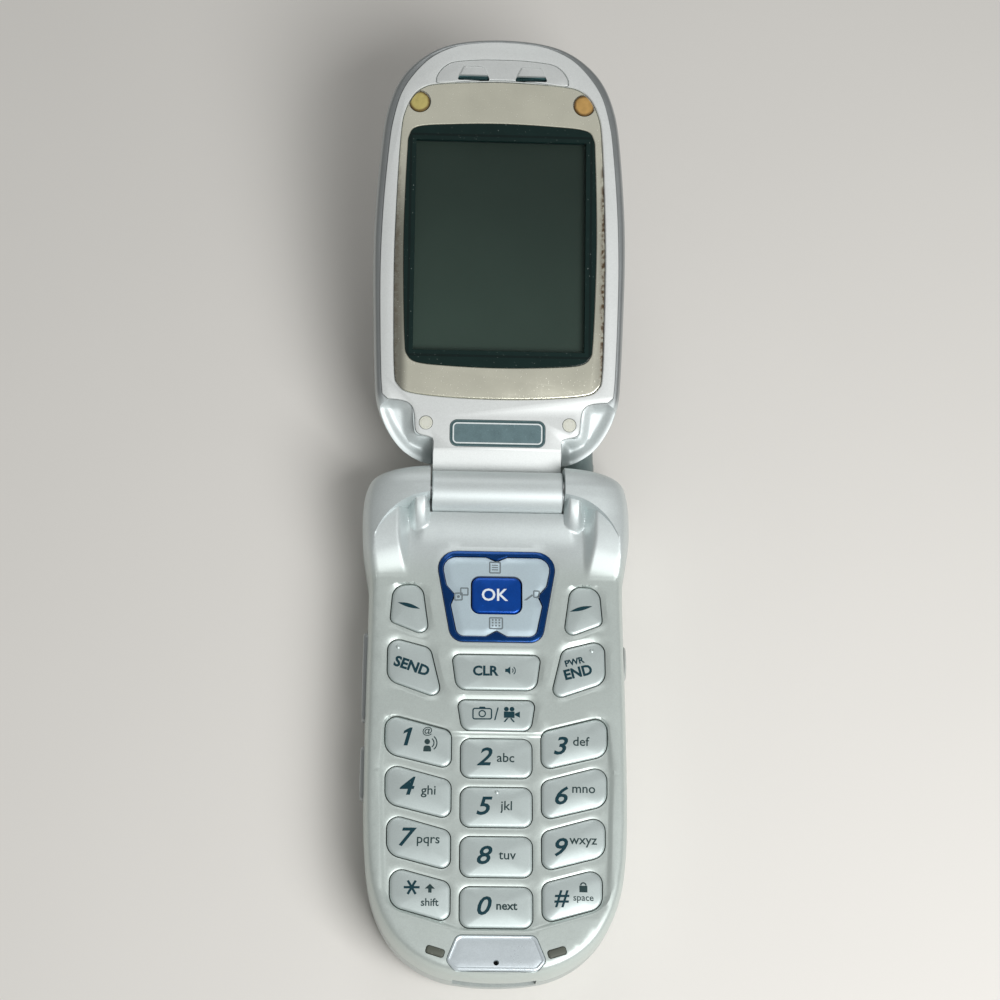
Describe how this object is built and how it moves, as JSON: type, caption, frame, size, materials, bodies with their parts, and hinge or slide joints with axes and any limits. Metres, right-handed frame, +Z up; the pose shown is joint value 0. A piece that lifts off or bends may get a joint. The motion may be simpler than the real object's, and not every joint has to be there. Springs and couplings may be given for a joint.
{
  "type": "folding mobile phone",
  "caption": "Clamshell mobile phone lying open on its back: keypad base, hinged lid with display and earpiece, battery pack, stub antenna.",
  "frame": {"origin": "on the flat back of the base, straight under the hinge axis, midway across", "axes": "+X to the right as the user faces the keypad, +Y along the phone from the chin to the lid, +Z up out of the keypad"},
  "size_m": [0.0488, 0.1721, 0.0387],
  "materials": {
    "base_paint": "pale silver paint with fine metal flake over moulded plastic",
    "rear_paint": "silver paint, a little darker than the front",
    "lid_paint": "light bluish silver paint with fine metal flake",
    "lid_back_paint": "grey silver paint with fine metal flake",
    "chin_paint": "bluish silver paint",
    "mirror_film": "mirror-bright film with fine scratches",
    "window_glass": "clear acrylic with a printed dark border",
    "display_glass": "unlit liquid crystal panel, dark grey-green",
    "key_silver": "satin silver painted key with printed figures",
    "nav_blue": "deep blue metallic lacquer",
    "ok_blue": "saturated blue gloss with white letters",
    "pad_silver": "pale silver with faint engraved signs",
    "gold_plug": "yellow-gold plastic plugs at the top, silver ones by the badge",
    "badge_lacquer": "teal-grey plate with a pale line round it",
    "bumper_rubber": "olive-grey rubber",
    "mat_rubber": "translucent grey silicone rubber",
    "black_rubber": "dark grey rubber",
    "board_green": "green solder resist",
    "steel": "plain steel",
    "contact_gold": "gold-plated contacts in a black block",
    "black_plastic": "black moulded plastic",
    "antenna_plastic": "teal-grey moulded plastic",
    "battery_paint": "silver paint to match the rear housing",
    "cell_foil": "aluminium cell can",
    "outer_glass": "dark tinted acrylic window",
    "lens_black": "black lens holder with a clear front",
    "ring_chrome": "bright plated ring"
  },
  "bodies": {
    "base": {"rear_housing": "rear_paint", "front_cover": "base_paint", "chin_panel": "chin_paint", "deck_bumpers": "bumper_rubber", "keypad_mat": "mat_rubber", "main_board": "board_green", "shield_cans": "steel", "battery_contacts": "contact_gold", "microphone": "steel", "vibration_motor": "steel", "system_connector": "black_plastic", "headset_jack": "black_plastic", "antenna_stub": "antenna_plastic", "housing_screws": "steel", "hinge_shaft": "steel", "hinge_bush": "steel", "nav_ring": "nav_blue"},
    "lid": {"lid_cover": "lid_paint", "lid_housing": "lid_back_paint", "mirror_bezel": "mirror_film", "display_window": "window_glass", "display_module": "display_glass", "earpiece_panel": "lid_paint", "earpiece": "black_plastic", "screw_plugs": "gold_plug", "lid_screws": "steel", "badge_plate": "badge_lacquer", "lid_board": "board_green", "outer_window": "outer_glass", "camera_module": "lens_black", "camera_ring": "ring_chrome", "hinge_cartridge": "steel"},
    "battery": {"battery_case": "battery_paint", "battery_cell": "cell_foil"},
    "battery_latch": {"battery_latch": "rear_paint"},
    "jack_cover": {"jack_cover": "black_rubber"},
    "antenna_whip": {"antenna_whip": "antenna_plastic"},
    "volume_rocker": {"volume_rocker": "key_silver"},
    "voice_key": {"voice_key": "key_silver"},
    "nav_web": {"nav_web": "mat_rubber"},
    "nav_pad": {"nav_pad": "pad_silver"},
    "ok_key": {"ok_key": "ok_blue"},
    "key_1": {"key_1": "key_silver"},
    "key_2": {"key_2": "key_silver"},
    "key_3": {"key_3": "key_silver"},
    "key_4": {"key_4": "key_silver"},
    "key_5": {"key_5": "key_silver"},
    "key_6": {"key_6": "key_silver"},
    "key_7": {"key_7": "key_silver"},
    "key_8": {"key_8": "key_silver"},
    "key_9": {"key_9": "key_silver"},
    "key_star": {"key_star": "key_silver"},
    "key_0": {"key_0": "key_silver"},
    "key_hash": {"key_hash": "key_silver"},
    "soft_left": {"soft_left": "key_silver"},
    "soft_right": {"soft_right": "key_silver"},
    "send_key": {"send_key": "key_silver"},
    "end_key": {"end_key": "key_silver"},
    "clear_key": {"clear_key": "key_silver"},
    "camera_key": {"camera_key": "key_silver"}
  },
  "joints": [
    {"name": "lid_fold", "type": "hinge", "parent": "base", "child": "lid", "pos_m": [0, 0, 0.016], "axis": [1, 0, 0], "range_deg": [0, 164.35]},
    {"name": "battery_lift", "type": "slide", "parent": "base", "child": "battery", "axis": [0, 0, -1], "range_m": [0, 0.02]},
    {"name": "latch_slide", "type": "slide", "parent": "base", "child": "battery_latch", "axis": [0, 1, 0], "range_m": [0, 0.0014], "stiffness_N_per_m": 500},
    {"name": "jack_cover_swing", "type": "hinge", "parent": "base", "child": "jack_cover", "pos_m": [0.02375, -0.02735, 0.01035], "axis": [0, 0, 1], "range_deg": [0, 100]},
    {"name": "antenna_pull", "type": "slide", "parent": "base", "child": "antenna_whip", "axis": [0, 1, 0], "range_m": [0, 0.066]},
    {"name": "volume_rock", "type": "hinge", "parent": "base", "child": "volume_rocker", "pos_m": [-0.0222, -0.034, 0.011], "axis": [0, 0, 1], "range_deg": [-1.8, 1.8], "stiffness_Nm_per_rad": 0.05},
    {"name": "voice_press", "type": "slide", "parent": "base", "child": "voice_key", "axis": [1, 0, 0], "range_m": [0, 0.0003], "stiffness_N_per_m": 800},
    {"name": "nav_up_down", "type": "hinge", "parent": "base", "child": "nav_web", "pos_m": [0, -0.0196, 0.0134], "axis": [1, 0, 0], "range_deg": [-2.2, 2.2], "stiffness_Nm_per_rad": 0.05},
    {"name": "nav_left_right", "type": "hinge", "parent": "nav_web", "child": "nav_pad", "pos_m": [0, -0.0196, 0.0134], "axis": [0, 1, 0], "range_deg": [-2.2, 2.2], "stiffness_Nm_per_rad": 0.05},
    {"name": "ok_press", "type": "slide", "parent": "base", "child": "ok_key", "axis": [0, 0, -1], "range_m": [0, 0.00035], "stiffness_N_per_m": 800},
    {"name": "key_1_press", "type": "slide", "parent": "base", "child": "key_1", "axis": [0, 0, -1], "range_m": [0, 0.0004], "stiffness_N_per_m": 800},
    {"name": "key_2_press", "type": "slide", "parent": "base", "child": "key_2", "axis": [0, 0, -1], "range_m": [0, 0.0004], "stiffness_N_per_m": 800},
    {"name": "key_3_press", "type": "slide", "parent": "base", "child": "key_3", "axis": [0, 0, -1], "range_m": [0, 0.0004], "stiffness_N_per_m": 800},
    {"name": "key_4_press", "type": "slide", "parent": "base", "child": "key_4", "axis": [0, 0, -1], "range_m": [0, 0.0004], "stiffness_N_per_m": 800},
    {"name": "key_5_press", "type": "slide", "parent": "base", "child": "key_5", "axis": [0, 0, -1], "range_m": [0, 0.0004], "stiffness_N_per_m": 800},
    {"name": "key_6_press", "type": "slide", "parent": "base", "child": "key_6", "axis": [0, 0, -1], "range_m": [0, 0.0004], "stiffness_N_per_m": 800},
    {"name": "key_7_press", "type": "slide", "parent": "base", "child": "key_7", "axis": [0, 0, -1], "range_m": [0, 0.0004], "stiffness_N_per_m": 800},
    {"name": "key_8_press", "type": "slide", "parent": "base", "child": "key_8", "axis": [0, 0, -1], "range_m": [0, 0.0004], "stiffness_N_per_m": 800},
    {"name": "key_9_press", "type": "slide", "parent": "base", "child": "key_9", "axis": [0, 0, -1], "range_m": [0, 0.0004], "stiffness_N_per_m": 800},
    {"name": "key_star_press", "type": "slide", "parent": "base", "child": "key_star", "axis": [0, 0, -1], "range_m": [0, 0.0004], "stiffness_N_per_m": 800},
    {"name": "key_0_press", "type": "slide", "parent": "base", "child": "key_0", "axis": [0, 0, -1], "range_m": [0, 0.0004], "stiffness_N_per_m": 800},
    {"name": "key_hash_press", "type": "slide", "parent": "base", "child": "key_hash", "axis": [0, 0, -1], "range_m": [0, 0.0004], "stiffness_N_per_m": 800},
    {"name": "soft_left_press", "type": "slide", "parent": "base", "child": "soft_left", "axis": [0, 0, -1], "range_m": [0, 0.0004], "stiffness_N_per_m": 800},
    {"name": "soft_right_press", "type": "slide", "parent": "base", "child": "soft_right", "axis": [0, 0, -1], "range_m": [0, 0.0004], "stiffness_N_per_m": 800},
    {"name": "send_key_press", "type": "slide", "parent": "base", "child": "send_key", "axis": [0, 0, -1], "range_m": [0, 0.0004], "stiffness_N_per_m": 800},
    {"name": "end_key_press", "type": "slide", "parent": "base", "child": "end_key", "axis": [0, 0, -1], "range_m": [0, 0.0004], "stiffness_N_per_m": 800},
    {"name": "clear_key_press", "type": "slide", "parent": "base", "child": "clear_key", "axis": [0, 0, -1], "range_m": [0, 0.0004], "stiffness_N_per_m": 800},
    {"name": "camera_key_press", "type": "slide", "parent": "base", "child": "camera_key", "axis": [0, 0, -1], "range_m": [0, 0.0004], "stiffness_N_per_m": 800}
  ]
}
